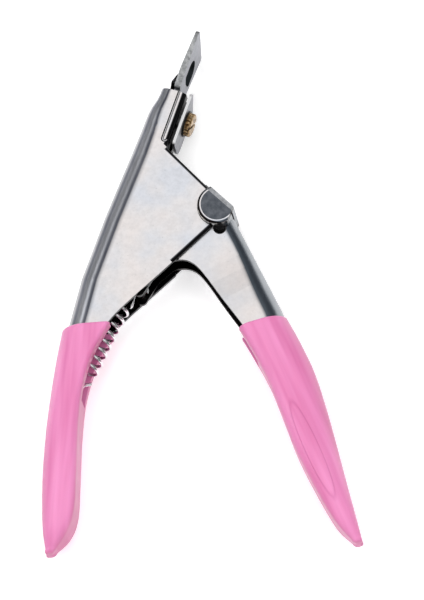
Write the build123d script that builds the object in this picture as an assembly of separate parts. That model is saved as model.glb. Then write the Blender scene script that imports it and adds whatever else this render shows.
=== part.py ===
from build123d import *
from math import cos, hypot, pi, radians, sin
import os

# Guillotine nail clipper for pets, lying flat on its side.  Millimetres, Z up.
# Origin: lever pivot axis, on the underside of the lower lug.
# X runs across the two handles, Y runs toward the cutting head.

# ---- driving dimensions ----
MID = 7.0                       # height of the middle plane of the tool
SHEET = 1.0                     # gauge of both pressed channels
FRAME_HALF = 5.25               # half width of the frame channel
ARM_HALF = 3.9                  # half width of the lever arm nested in it
HANDLE_HALF = 5.3               # half width of the lever channel at the grip
NOTCH_R = 5.0                   # concave seat for each lug
LUG_R = 4.9                     # drawn lug that turns in the seat
LUG_SHOULDER = 0.75
STRAP_OUT = 2.1                 # front strap, distance from the pivot axis
LUG_END = 3.84                  # where the strap ends beside the lug
GRIP_HALF = 6.8                 # half thickness of the dipped grips
LIP_FRONT = -16.66              # front of the neck lips
LIP_SLOT_HALF = 1.75
LIP_BEND = 1.1                  # outside bend of each lip
LIP_ROOT = -19.3                # where the lip's own sheet starts
WALL_END = -18.7                # front of the flat side walls in the neck
EDGE_ROUND = 0.85               # rolled free edges of the frame
BEND_MID = 1 - sin(pi / 4)
NECK_TOP = 24.5
NECK_FOOT = 10.4                # foot of the lips, where the shoulder edge meets them
SHOULDER_ROOT = 11.43           # height of the shoulder edge at the flat walls
SHOULDER_FOOT = (-2.3, 4.8)
JAW_HEAD = (0.0, -3.5)          # ends of the free edge below the pivot
JAW_FOOT = (-11.0, -13.7)
RING_FRONT = -18.5
RING_BACK = -20.0
BLADE_FRONT = -20.05
BLADE_BACK = -21.05
SCREW_AT = 18.8                 # height of the clamp screw up the neck
SCREW_R = 1.5
TRAVEL = 7.864                  # blade stroke for the full squeeze
DRIVE_F = -18.5                 # drive pin, measured along the front direction
DRIVE_U = -TRAVEL / 2
DRIVE_R = 0.9
FIT = 0.05                      # running clearance of pins and slots
WIRE_R = 0.4
COIL_R = 2.35
COIL_COUNT = 8.5
SPRING_PIN = (-18.9, -18.9)
SPRING_PIN_R = 0.8
ANCHOR = (-34.3, -42.0)
ANCHOR_R = 1.0
REACH = 46                      # filled sections run this far past the open side
CLEAR = 9                       # cutters of this half height pass every flat part
PIERCE = 6                      # through holes are cut this far either way
TRIM_HALF = 40                  # half width of a block that trims to a plane
TRIM_DEEP = 120                 # depth of that block
OVER = 1                        # overrun of a cutter beyond the metal it trims

# Neck directions: ALONG runs up the blade, FRONT faces out of the slot.
NECK_LEAN = radians(19.27)
ALONG = (sin(NECK_LEAN), cos(NECK_LEAN))
FRONT = (cos(NECK_LEAN), -sin(NECK_LEAN))


def at(u, f):
    """Point in the XY plane, u up the neck and f toward its front."""
    return (u * ALONG[0] + f * FRONT[0], u * ALONG[1] + f * FRONT[1])


def slab(points, low, high):
    """Straight-sided plate between two heights measured from the middle plane."""
    face = make_face(Polyline(*points, close=True))
    return extrude(Pos(0, 0, MID + low) * face, amount=high - low)


def neck_plane(u, f):
    """Plane across the neck: local X toward the front, local Y across."""
    x, y = at(u, f)
    return Plane(origin=(x, y, MID), x_dir=(FRONT[0], FRONT[1], 0), z_dir=(ALONG[0], ALONG[1], 0))


def front_plane(u, f):
    """Plane facing the front: local X across the tool, local Y up the neck."""
    x, y = at(u, f)
    return Plane(origin=(x, y, MID), x_dir=(0, 0, -1), z_dir=(FRONT[0], FRONT[1], 0))


def bar(u0, u1, f0, f1, half):
    """Rectangular bar along the neck, centred on the middle plane."""
    corners = [at(u0, f0), at(u1, f0), at(u1, f1), at(u0, f1)]
    return slab(corners, -half, half)


def behind(normal, distance, half):
    """Everything on the near side of an upright plane at a distance from the pivot."""
    nx, ny = normal
    corners = []
    far = distance - TRIM_DEEP
    for reach, run in ((distance, -TRIM_HALF), (distance, TRIM_HALF), (far, TRIM_HALF), (far, -TRIM_HALF)):
        corners.append((nx * reach - ny * run, ny * reach + nx * run))
    return slab(corners, -half, half)


def pin(point, radius, half):
    return extrude(Pos(point[0], point[1], MID) * Circle(radius), amount=half, both=True)


def channel_section(spine, inward, half, radius):
    """Round-backed U section, filled, starting at a point on the spine."""
    size = hypot(*inward)
    nx, ny = inward[0] / size, inward[1] / size
    plane = Plane(origin=(spine[0], spine[1], MID), x_dir=(nx, ny, 0), z_dir=(-ny, nx, 0))
    bend = radius * BEND_MID
    side = half - radius
    edges = [
        Line((REACH, half), (radius, half)),
        ThreePointArc((radius, half), (bend, side + radius * sin(pi / 4)), (0, side)),
        Line((0, side), (0, -side)),
        ThreePointArc((0, -side), (bend, -side - radius * sin(pi / 4)), (radius, -half)),
        Line((radius, -half), (REACH, -half)),
        Line((REACH, -half), (REACH, half)),
    ]
    return plane * make_face(edges)


def channel(stations, inset):
    """Loft a channel form through (spine point, inward, half, radius)."""
    sections = []
    for spine, inward, half, radius in stations:
        size = hypot(*inward)
        start = (spine[0] + inset * inward[0] / size, spine[1] + inset * inward[1] / size)
        sections.append(channel_section(start, inward, half - inset, radius - inset))
    return loft(sections, ruled=True)


# ---- frame: round-backed channel with a C-shaped neck ----
frame_stations = [
    (at(27.0, -22.9), FRONT, FRAME_HALF, 2.75),
    (at(23.0, -23.1), FRONT, FRAME_HALF, 2.85),
    (at(21.6, -23.35), FRONT, FRAME_HALF, 3.1),
    (at(19.4, -24.05), FRONT, FRAME_HALF, 3.6),
    (at(17.6, -24.35), FRONT, FRAME_HALF, 3.95),
    (at(13.0, -24.6), FRONT, FRAME_HALF, 4.6),
    (at(7.0, -24.95), FRONT, FRAME_HALF, 5.05),
    (at(1.0, -25.3), FRONT, FRAME_HALF, 5.2),
    (at(-10.0, -25.8), FRONT, FRAME_HALF, 5.2),
    (at(-26.0, -26.0), FRONT, FRAME_HALF, 5.2),
    ((-36.4, -28.5), (0.97, -0.243), FRAME_HALF, 5.2),
    ((-38.6, -43.0), (0.992, -0.125), FRAME_HALF, 5.2),
    ((-40.2, -60.0), (0.998, -0.06), FRAME_HALF, 5.2),
    ((-40.5, -79.0), (1.0, 0.0), FRAME_HALF, 5.2),
]
frame_outline = [
    Line(at(NECK_TOP, -32), at(NECK_TOP, WALL_END)),
    Line(at(NECK_TOP, WALL_END), at(SHOULDER_ROOT, WALL_END)),
    Line(at(SHOULDER_ROOT, WALL_END), SHOULDER_FOOT),
    Line(SHOULDER_FOOT, (0.0, 0.0)),
    Line((0.0, 0.0), JAW_HEAD),
    Line(JAW_HEAD, JAW_FOOT),
    Spline(
        JAW_FOOT, (-21.1, -22.8), (-26.3, -28.2), (-31.0, -37.5),
        (-34.0, -46.0), (-35.7, -60.0), (-36.8, -76.0),
        tangents=[(-0.733, -0.68), (-0.05, -1.0)],
    ),
    Line((-36.8, -76.0), (-48.0, -76.0)),
    Line((-48.0, -76.0), (-48.0, -10.0)),
    Line((-48.0, -10.0), at(NECK_TOP, -32)),
]
frame_side = extrude(Pos(0, 0, MID) * make_face(frame_outline), amount=FRAME_HALF, both=True)
frame_form = channel(frame_stations, 0)
frame_hollow = channel(frame_stations, SHEET)
main_frame = (frame_form & frame_side) - frame_hollow
# Each side wall turns in at the front of the neck to make a lip.
for side in (-1, 1):
    lip_outline = [
        Line((LIP_ROOT, side * FRAME_HALF), (LIP_FRONT - LIP_BEND, side * FRAME_HALF)),
        ThreePointArc(
            (LIP_FRONT - LIP_BEND, side * FRAME_HALF),
            (LIP_FRONT - LIP_BEND * BEND_MID, side * (FRAME_HALF - LIP_BEND * BEND_MID)),
            (LIP_FRONT, side * (FRAME_HALF - LIP_BEND)),
        ),
        Line((LIP_FRONT, side * (FRAME_HALF - LIP_BEND)), (LIP_FRONT, side * LIP_SLOT_HALF)),
        Line((LIP_FRONT, side * LIP_SLOT_HALF), (LIP_FRONT - SHEET, side * LIP_SLOT_HALF)),
        Line((LIP_FRONT - SHEET, side * LIP_SLOT_HALF), (LIP_FRONT - SHEET, side * (FRAME_HALF - SHEET))),
        Line((LIP_FRONT - SHEET, side * (FRAME_HALF - SHEET)), (LIP_ROOT, side * (FRAME_HALF - SHEET))),
        Line((LIP_ROOT, side * (FRAME_HALF - SHEET)), (LIP_ROOT, side * FRAME_HALF)),
    ]
    lip_face = neck_plane(NECK_FOOT, 0) * make_face(lip_outline)
    main_frame += extrude(lip_face, amount=NECK_TOP - NECK_FOOT)


def edge_rounding(start, end):
    """Cutter that rounds the outer corners of a wall along a straight free edge.

    The metal lies on the right-hand side when walking from start to end.
    """
    length = hypot(end[0] - start[0], end[1] - start[1])
    tx, ty = (end[0] - start[0]) / length, (end[1] - start[1]) / length
    plane = Plane(origin=(start[0], start[1], MID), x_dir=(-ty, tx, 0), z_dir=(tx, ty, 0))
    inner = FRAME_HALF - EDGE_ROUND
    cutter = Part()
    for way in (-1, 1):
        profile = [
            Line((-EDGE_ROUND, way * FRAME_HALF), (-EDGE_ROUND, way * (FRAME_HALF + OVER))),
            Line((-EDGE_ROUND, way * (FRAME_HALF + OVER)), (OVER, way * (FRAME_HALF + OVER))),
            Line((OVER, way * (FRAME_HALF + OVER)), (OVER, way * inner)),
            Line((OVER, way * inner), (0, way * inner)),
            ThreePointArc(
                (0, way * inner),
                (-EDGE_ROUND * BEND_MID, way * (inner + EDGE_ROUND * sin(pi / 4))),
                (-EDGE_ROUND, way * FRAME_HALF),
            ),
        ]
        cutter += extrude(plane * make_face(profile), amount=length)
    return cutter


main_frame -= edge_rounding(at(NECK_FOOT, LIP_FRONT), SHOULDER_FOOT)
main_frame -= edge_rounding(JAW_HEAD, JAW_FOOT)
main_frame -= pin((0, 0), NOTCH_R, FRAME_HALF + OVER)
main_frame -= pin(ANCHOR, ANCHOR_R, FRAME_HALF + OVER)

# A pressed line sets each lip off from its wall and hooks forward at the foot.
GROOVE_F = -18.4
GROOVE_FOOT = 12.3
GROOVE_TURN = 0.55
GROOVE_R = 0.4
GROOVE_DEEP = 0.18
up_the_neck = (ALONG[0], ALONG[1], 0)
turn_zone = bar(GROOVE_FOOT - 2 * OVER, GROOVE_FOOT, GROOVE_F - OVER, GROOVE_F + 2 * OVER, CLEAR)
for side in (-1, 1):
    level = MID + side * (FRAME_HALF + GROOVE_R - GROOVE_DEEP)
    foot = Plane(origin=(*at(GROOVE_FOOT, GROOVE_F), level), z_dir=up_the_neck)
    main_frame -= extrude(foot * Circle(GROOVE_R), amount=NECK_TOP - GROOVE_FOOT + OVER)
    centre = (*at(GROOVE_FOOT, GROOVE_F + GROOVE_TURN), level)
    main_frame -= Pos(*centre) * Torus(GROOVE_TURN, GROOVE_R) & turn_zone

# ---- lever: lugs, front strap, hidden drive arm and handle channel ----
DOWN = (0.439, -0.898)
INWARD = (-0.898, -0.439)


def lever_spine(s):
    return (2.6 + s * DOWN[0], -0.3 + s * DOWN[1])


ROUND = 0.05                    # the round back stops this far short of a half circle
lever_stations = [
    (lever_spine(-18.0), INWARD, ARM_HALF, ARM_HALF - ROUND),
    (lever_spine(8.5), INWARD, ARM_HALF, ARM_HALF - ROUND),
    (lever_spine(11.5), INWARD, 4.0, 4.0 - ROUND),
    (lever_spine(15.0), INWARD, 4.3, 4.3 - ROUND),
    (lever_spine(20.0), INWARD, 4.85, 4.85 - ROUND),
    (lever_spine(24.0), INWARD, 5.17, 5.17 - ROUND),
    (lever_spine(28.0), INWARD, HANDLE_HALF, HANDLE_HALF - ROUND),
    ((17.9, -33.8), (-0.92, -0.39), HANDLE_HALF, HANDLE_HALF - ROUND),
    ((21.2, -42.0), (-0.935, -0.355), HANDLE_HALF, HANDLE_HALF - ROUND),
    ((24.0, -50.8), (-0.955, -0.295), HANDLE_HALF, HANDLE_HALF - ROUND),
    ((26.3, -60.0), (-0.97, -0.243), HANDLE_HALF, HANDLE_HALF - ROUND),
    ((28.5, -70.0), (-0.976, -0.218), HANDLE_HALF, HANDLE_HALF - ROUND),
    ((30.0, -77.0), (-0.976, -0.218), HANDLE_HALF, HANDLE_HALF - ROUND),
]
drive_pin_at = at(DRIVE_U, DRIVE_F)
lever_outline = [
    Line((-3.0, 6.0), (3.9, -0.53)),
    Line((3.9, -0.53), (9.0, -0.53)),
    Line((9.0, -0.53), (40.0, -72.0)),
    Line((40.0, -72.0), (25.2, -72.0)),
    Spline(
        (25.2, -72.0), (20.2, -61.0), (13.6, -43.5), (8.2, -33.4), (5.4, -29.2),
        (0.3, -22.0), (-3.3, -16.7), (-8.0, -12.8), (-11.5, -13.2),
        tangents=[(-0.4, 0.92), (-0.9, -0.45)],
    ),
    Line((-11.5, -13.2), (-15.0, -16.2)),
    Line((-15.0, -16.2), (-17.8, -20.6)),
    ThreePointArc((-17.8, -20.6), (-19.5, -21.4), (-20.5, -20.1)),
    Line((-20.5, -20.1), (-20.95, 2.5)),
    ThreePointArc((-20.95, 2.5), (-20.1, 4.15), (-18.4, 4.6)),
    Line((-18.4, 4.6), (-3.0, 6.0)),
]
lever_side = extrude(Pos(0, 0, MID) * make_face(lever_outline), amount=MID, both=True)
lever_form = channel(lever_stations, 0)
lever_hollow = channel(lever_stations, SHEET)

STRAP_NORMAL = (0.687, 0.726)   # direction the front strap faces
END_NORMAL = (0.917, -0.399)    # direction the end of the strap faces
STRAP_INNER = STRAP_OUT - SHEET
barrel = extrude(Pos(0, 0, MID) * Circle(LUG_R), amount=MID, both=True)
barrel = fillet(barrel.edges(), LUG_SHOULDER)
barrel = barrel & behind(STRAP_NORMAL, STRAP_OUT, MID) & behind(END_NORMAL, LUG_END, MID)
barrel_hollow = pin((0, 0), LUG_R - SHEET, MID - SHEET)
barrel_hollow = barrel_hollow & behind(STRAP_NORMAL, STRAP_INNER, MID)
# The arm is closed in front by the strap; the handle below and right of it stays open.
strap_wall = slab([(-60, 30), (60, 30), (60, -1.5), (0, -1.5), (0, -30), (-60, -30)], -MID, MID)
strap_wall -= behind(STRAP_NORMAL, STRAP_INNER, MID)
lever = (lever_form & lever_side) + barrel
lever = lever - (lever_hollow - strap_wall) - barrel_hollow
# A round dimple is pressed into each side of the arm, half under the lug.
DIMPLE = (0.3, -5.0)
DIMPLE_R = 2.2
DIMPLE_DEEP = 0.6
for side in (-1, 1):
    height = MID + side * (ARM_HALF + DIMPLE_R - DIMPLE_DEEP)
    lever -= Pos(*DIMPLE, height) * Sphere(DIMPLE_R) - pin((0, 0), LUG_R, MID)
lever -= pin(drive_pin_at, DRIVE_R, ARM_HALF + OVER)
lever -= pin(SPRING_PIN, SPRING_PIN_R, ARM_HALF + OVER)

# ---- dipped grips ----


def grip_section(left, right, half, r_left, r_right):
    """Rounded section between two side points of the grip."""
    width = hypot(right[0] - left[0], right[1] - left[1])
    nx, ny = (right[0] - left[0]) / width, (right[1] - left[1]) / width
    plane = Plane(origin=(left[0], left[1], MID), x_dir=(nx, ny, 0), z_dir=(ny, -nx, 0))
    a, b = r_left, r_right
    bend_a, bend_b = a * BEND_MID, b * BEND_MID
    edges = [
        Line((a, half), (width - b, half)),
        ThreePointArc((width - b, half), (width - bend_b, half - bend_b), (width, half - b)),
        Line((width, half - b), (width, b - half)),
        ThreePointArc((width, b - half), (width - bend_b, bend_b - half), (width - b, -half)),
        Line((width - b, -half), (a, -half)),
        ThreePointArc((a, -half), (bend_a, bend_a - half), (0, a - half)),
        Line((0, a - half), (0, half - a)),
        ThreePointArc((0, half - a), (bend_a, half - bend_a), (a, half)),
    ]
    return plane * make_face(edges)


frame_grip_form = loft([
    grip_section((-37.7, -29.0), (-25.9, -28.4), GRIP_HALF, 6.0, 1.1),
    grip_section((-39.0, -36.0), (-29.9, -36.0), GRIP_HALF, 6.0, 1.2),
    grip_section((-40.2, -44.5), (-32.4, -44.5), GRIP_HALF, 5.2, 1.4),
    grip_section((-41.4, -54.0), (-33.4, -54.0), GRIP_HALF, 5.2, 1.8),
    grip_section((-42.2, -65.0), (-33.8, -65.0), GRIP_HALF, 5.2, 2.0),
    grip_section((-42.3, -74.0), (-34.3, -74.2), 6.5, 4.8, 2.0),
    grip_section((-42.0, -80.0), (-36.2, -79.8), 5.4, 3.2, 1.6),
    grip_section((-41.5, -84.6), (-39.3, -84.6), 2.8, 1.0, 1.0),
])
pocket_outline = [
    Line((-20.0, -20.0), (-33.9, -20.0)),
    Line((-33.9, -20.0), (-33.9, -29.0)),
    Line((-33.9, -29.0), (-36.4, -44.0)),
    ThreePointArc((-36.4, -44.0), (-35.6, -46.0), (-33.6, -47.0)),
    Line((-33.6, -47.0), (-20.0, -47.0)),
    Line((-20.0, -47.0), (-20.0, -20.0)),
]
POCKET_HALF = 3.25
pocket = extrude(Pos(0, 0, MID) * make_face(pocket_outline), amount=POCKET_HALF, both=True)
# A narrow relief behind the pocket clears the hook round the anchor pin.
RELIEF_HALF = 1.0
relief_outline = [(-33.0, -38.5), (-36.4, -38.5), (-36.9, -44.4), (-33.0, -44.4)]
pocket += slab(relief_outline, -RELIEF_HALF, RELIEF_HALF)
frame_grip = frame_grip_form - main_frame - pocket - pin(ANCHOR, ANCHOR_R, FRAME_HALF)

lever_grip_form = loft([
    grip_section((5.0, -30.6), (16.2, -27.3), GRIP_HALF, 2.6, 6.0),
    grip_section((8.2, -36.6), (19.1, -33.2), GRIP_HALF, 2.8, 6.0),
    grip_section((11.9, -44.0), (22.6, -41.0), GRIP_HALF, 3.0, 6.0),
    grip_section((15.2, -52.8), (25.4, -50.0), GRIP_HALF, 3.0, 6.0),
    grip_section((18.4, -61.4), (27.8, -59.2), GRIP_HALF, 2.8, 5.6),
    grip_section((22.8, -70.6), (30.2, -68.8), 6.5, 2.6, 4.4),
    grip_section((27.5, -79.2), (32.5, -77.8), 5.4, 1.8, 2.8),
    grip_section((31.9, -84.6), (34.1, -84.0), 2.8, 1.0, 1.0),
])
MOUTH_HALF = 3.3
mouth_outline = [(0, -24), (3.5, -36.0), (9.4, -38.4), (14.4, -32.4), (12.0, -24)]
mouth = slab(mouth_outline, -MOUTH_HALF, MOUTH_HALF)
lever_grip = lever_grip_form - lever - mouth

# ---- head: ring plate with the nail hole, clamp plate, screw and washer ----
# Outlines on the front plane: local X runs from the upper side to the lower side.
SHANK_HALF = 4.0
ring_outline = [
    Line((-SHANK_HALF, 12.0), (SHANK_HALF, 12.0)),
    Line((SHANK_HALF, 12.0), (SHANK_HALF, 27.6)),
    Line((SHANK_HALF, 27.6), (6.3, 36.7)),
    ThreePointArc((6.3, 36.7), (6.2, 37.3), (5.7, 37.6)),
    Line((5.7, 37.6), (-5.3, 40.0)),
    ThreePointArc((-5.3, 40.0), (-6.2, 39.9), (-6.6, 39.2)),
    Line((-6.6, 39.2), (-5.7, 26.4)),
    ThreePointArc((-5.7, 26.4), (-5.4, 25.6), (-SHANK_HALF, 25.2)),
    Line((-SHANK_HALF, 25.2), (-SHANK_HALF, 12.0)),
]
HOLE_HALF = 3.0
HOLE_FOOT = 28.0
HOLE_SIDE = 28.9
HOLE_SPRING = 31.4
hole_outline = [
    Line((-HOLE_HALF, HOLE_SPRING), (-HOLE_HALF, HOLE_SIDE)),
    ThreePointArc((-HOLE_HALF, HOLE_SIDE), (0, HOLE_FOOT), (HOLE_HALF, HOLE_SIDE)),
    Line((HOLE_HALF, HOLE_SIDE), (HOLE_HALF, HOLE_SPRING)),
    ThreePointArc((HOLE_HALF, HOLE_SPRING), (0, HOLE_SPRING + HOLE_HALF), (-HOLE_HALF, HOLE_SPRING)),
]
ring_back = front_plane(0, RING_BACK)
cutting_ring = extrude(ring_back * make_face(ring_outline), amount=RING_FRONT - RING_BACK)
cutting_ring -= extrude(ring_back * make_face(hole_outline), amount=PIERCE, both=True)
# The back face falls away toward the tip, leaving a thin working edge.
THIN_FROM = 30.0
THIN_TO = 40.5
THIN_BACK = -19.3
past_ring = RING_BACK - OVER
back_line = [at(THIN_FROM, RING_BACK), at(THIN_TO, THIN_BACK)]
thinning = back_line + [at(THIN_TO, past_ring), at(THIN_FROM, past_ring)]
cutting_ring -= slab(thinning, -CLEAR, CLEAR)
cutting_ring -= extrude(front_plane(SCREW_AT, RING_BACK) * Circle(SCREW_R), amount=PIERCE, both=True)

CLAMP_BACK = -15.95
CLAMP_FRONT = -15.3
CLAMP_HALF = 4.3
clamp_outline = [
    Line((-CLAMP_HALF, 12.6), (-CLAMP_HALF, 24.4)),
    ThreePointArc((-CLAMP_HALF, 24.4), (-4.0, 25.0), (-3.4, 25.2)),
    Line((-3.4, 25.2), (2.2, 23.3)),
    ThreePointArc((2.2, 23.3), (3.7, 22.4), (CLAMP_HALF, 21.0)),
    Line((CLAMP_HALF, 21.0), (CLAMP_HALF, 13.6)),
    ThreePointArc((CLAMP_HALF, 13.6), (3.7, 12.3), (2.6, 11.7)),
    Line((2.6, 11.7), (-3.4, 11.7)),
    ThreePointArc((-3.4, 11.7), (-4.0, 12.0), (-CLAMP_HALF, 12.6)),
]
clamp_plate = extrude(front_plane(0, CLAMP_BACK) * make_face(clamp_outline), amount=CLAMP_FRONT - CLAMP_BACK)
# A pressed boss through the slot between the lips bears on the ring plate.
BOSS_R = LIP_SLOT_HALF - FIT
clamp_plate += extrude(front_plane(SCREW_AT, RING_FRONT) * Circle(BOSS_R), amount=CLAMP_FRONT - RING_FRONT)
SCREW_HOLE = SCREW_R + FIT
clamp_plate -= extrude(front_plane(SCREW_AT, CLAMP_BACK) * Circle(SCREW_HOLE), amount=PIERCE, both=True)

WASHER_FRONT = -14.9
WASHER_R = 3.2
washer_face = front_plane(SCREW_AT, CLAMP_FRONT) * (Circle(WASHER_R) - Circle(SCREW_HOLE))
screw_washer = extrude(washer_face, amount=WASHER_FRONT - CLAMP_FRONT)

HEAD_R = 2.87
HEAD_HIGH = 1.4
HEAD_ROUND = 0.4
SLOT_WIDE = 0.7
SLOT_DEEP = 0.5
SLOT_TURN = 35
KNURL_COUNT = 20
KNURL_WIDE = 0.34
head_plane = front_plane(SCREW_AT, WASHER_FRONT)
screw_head = extrude(head_plane * Circle(HEAD_R), amount=HEAD_HIGH)
outward = Axis((0, 0, MID), (FRONT[0], FRONT[1], 0))
screw_head = fillet(screw_head.edges().filter_by(GeomType.CIRCLE).sort_by(outward)[-1], HEAD_ROUND)
knurl_cuts = Sketch() + [
    loc * Rectangle(KNURL_WIDE, KNURL_WIDE, rotation=45) for loc in PolarLocations(HEAD_R, KNURL_COUNT)
]
screw_head -= extrude(head_plane * knurl_cuts, amount=HEAD_HIGH - HEAD_ROUND)
slot_plane = front_plane(SCREW_AT, WASHER_FRONT + HEAD_HIGH - SLOT_DEEP)
slot_cut = slot_plane * Rectangle(3 * HEAD_R, SLOT_WIDE, rotation=SLOT_TURN)
screw_head -= extrude(slot_cut, amount=SLOT_DEEP + OVER)
SCREW_END = -21.7
shank_length = WASHER_FRONT + SLOT_DEEP - SCREW_END
screw_shank = extrude(front_plane(SCREW_AT, SCREW_END) * Circle(SCREW_R), amount=shank_length)
clamp_screw = screw_head + screw_shank

# ---- sliding blade, its carrier and the drive pin ----
BLADE_EDGE = 28.6
TAIL_HALF = 2.6
BODY_HALF = 3.4
WIDE_HALF = 4.9
blade_outline = [
    Line((-TAIL_HALF, -3.0), (TAIL_HALF, -3.0)),
    Line((TAIL_HALF, -3.0), (TAIL_HALF, 2.0)),
    Line((TAIL_HALF, 2.0), (BODY_HALF, 3.2)),
    Line((BODY_HALF, 3.2), (BODY_HALF, 25.0)),
    Line((BODY_HALF, 25.0), (WIDE_HALF, 26.2)),
    Line((WIDE_HALF, 26.2), (WIDE_HALF, BLADE_EDGE)),
    ThreePointArc((WIDE_HALF, BLADE_EDGE), (0, BLADE_EDGE - 0.9), (-WIDE_HALF, BLADE_EDGE)),
    Line((-WIDE_HALF, BLADE_EDGE), (-WIDE_HALF, 26.2)),
    Line((-WIDE_HALF, 26.2), (-BODY_HALF, 25.0)),
    Line((-BODY_HALF, 25.0), (-BODY_HALF, 3.2)),
    Line((-BODY_HALF, 3.2), (-TAIL_HALF, 2.0)),
    Line((-TAIL_HALF, 2.0), (-TAIL_HALF, -3.0)),
]
blade_plane = front_plane(0, BLADE_BACK)
sliding_blade = extrude(blade_plane * make_face(blade_outline), amount=BLADE_FRONT - BLADE_BACK)
# Screw slot: its upper end meets the screw when the handles are fully open.
SLOT_R = SCREW_R + FIT
SLOT_SPARE = 1.5                # slot left over beyond the full stroke
slot_top = SCREW_AT + FIT
slot_foot = SCREW_AT - TRAVEL - SLOT_SPARE
slot_middle = (slot_top + slot_foot) / 2
slot_shape = SlotCenterToCenter(slot_top - slot_foot, 2 * SLOT_R, rotation=90)
sliding_blade -= extrude(front_plane(slot_middle, BLADE_BACK) * slot_shape, amount=PIERCE, both=True)
# Ground bevel on the back of the cutting edge.
EDGE_THICK = 0.12
BEVEL_FOOT = 26.6
BEVEL_TOP = 29.2
past_blade = BLADE_BACK - OVER
bevel_line = [at(BEVEL_FOOT, BLADE_BACK), at(BEVEL_TOP, BLADE_FRONT - EDGE_THICK)]
bevel = bevel_line + [at(BEVEL_TOP, past_blade), at(BEVEL_FOOT, past_blade)]
sliding_blade -= slab(bevel, -CLEAR, CLEAR)

CARRIER_HALF = 2.65
CARRIER_FRONT = -16.9
CARRIER_FOOT = -7.2
CARRIER_TOP = 2.0
CARRIER_CORNER = 0.4
WEB_FRONT = -19.85
WEB_SHORT = 0.2                 # the web stops this far inside each end
blade_carrier = bar(CARRIER_FOOT, CARRIER_TOP, BLADE_FRONT, CARRIER_FRONT, CARRIER_HALF)
blade_carrier = fillet(blade_carrier.edges().filter_by(Axis.Z), CARRIER_CORNER)
drive_slot = DRIVE_R + FIT
slot_back, slot_front = BLADE_FRONT - OVER, CARRIER_FRONT + OVER
blade_carrier -= bar(DRIVE_U - drive_slot, DRIVE_U + drive_slot, slot_back, slot_front, CARRIER_HALF + OVER)
# A thin web behind the drive slot keeps the carrier in one piece.
blade_carrier += bar(CARRIER_FOOT + WEB_SHORT, CARRIER_TOP - WEB_SHORT, BLADE_FRONT, WEB_FRONT, CARRIER_HALF)
drive_pin = pin(drive_pin_at, DRIVE_R, ARM_HALF)

# ---- return spring and the two pins that hold its hooks ----
SPRING_TOP = (-23.3, -21.5)
SPRING_FOOT = (-31.9, -39.2)
run = hypot(SPRING_TOP[0] - SPRING_FOOT[0], SPRING_TOP[1] - SPRING_FOOT[1])
AXIS = ((SPRING_TOP[0] - SPRING_FOOT[0]) / run, (SPRING_TOP[1] - SPRING_FOOT[1]) / run)
SIDE = (AXIS[1], -AXIS[0])


def spring_point(w, a, z):
    """Point at w along the spring, a to its right and z above the middle plane."""
    x = SPRING_FOOT[0] + w * AXIS[0] + a * SIDE[0]
    y = SPRING_FOOT[1] + w * AXIS[1] + a * SIDE[1]
    return (x, y, MID + z)


def in_spring(point):
    dx, dy = point[0] - SPRING_FOOT[0], point[1] - SPRING_FOOT[1]
    return (dx * AXIS[0] + dy * AXIS[1], dx * SIDE[0] + dy * SIDE[1])


def hook(point, radius, turns):
    """Points on a hook round a pin, angles measured from the right-hand side."""
    w, a = in_spring(point)
    out = []
    for turn in turns:
        out.append(spring_point(w + radius * sin(turn * pi), a + radius * cos(turn * pi), 0))
    return out


POINTS_PER_COIL = 12
coil_points = []
steps = int(COIL_COUNT * POINTS_PER_COIL)
for i in range(steps + 1):
    angle = pi + 2 * pi * i / POINTS_PER_COIL
    coil_points.append(spring_point(run * i / steps, COIL_R * cos(angle), COIL_R * sin(angle)))
HOOK_GAP = 0.25
foot_hook = hook(ANCHOR, ANCHOR_R + WIRE_R + HOOK_GAP, (0.1, -0.2, -0.5, -0.8, -1.0))
top_hook = hook(SPRING_PIN, SPRING_PIN_R + WIRE_R + HOOK_GAP, (1.15, 1.0, 0.75, 0.5, 0.25, 0.0))
foot_tail = [spring_point(-1.9, 2.3, 0), spring_point(-2.7, 1.1, 0)]
wire_path = Spline(*(foot_tail + foot_hook + coil_points + top_hook))
wire_start = Plane(origin=wire_path @ 0, z_dir=wire_path % 0)
return_spring = sweep(wire_start * Circle(WIRE_R), path=wire_path)
spring_lever_pin = pin(SPRING_PIN, SPRING_PIN_R, ARM_HALF)
spring_anchor_pin = pin(ANCHOR, ANCHOR_R, FRAME_HALF)

# ---- one file per piece ----
os.makedirs("parts", exist_ok=True)
pieces = {
    "main_frame": main_frame,
    "frame_grip": frame_grip,
    "lever": lever,
    "lever_grip": lever_grip,
    "cutting_ring": cutting_ring,
    "clamp_plate": clamp_plate,
    "screw_washer": screw_washer,
    "clamp_screw": clamp_screw,
    "sliding_blade": sliding_blade,
    "blade_carrier": blade_carrier,
    "drive_pin": drive_pin,
    "return_spring": return_spring,
    "spring_lever_pin": spring_lever_pin,
    "spring_anchor_pin": spring_anchor_pin,
}
for name, shape in pieces.items():
    box = shape.bounding_box()
    print(name, len(shape.solids()), round(shape.volume, 1), box.min, box.max)
    export_step(shape, "parts/" + name + ".step")
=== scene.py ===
import math

import bmesh
import bpy
from mathutils import Matrix, Vector


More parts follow.
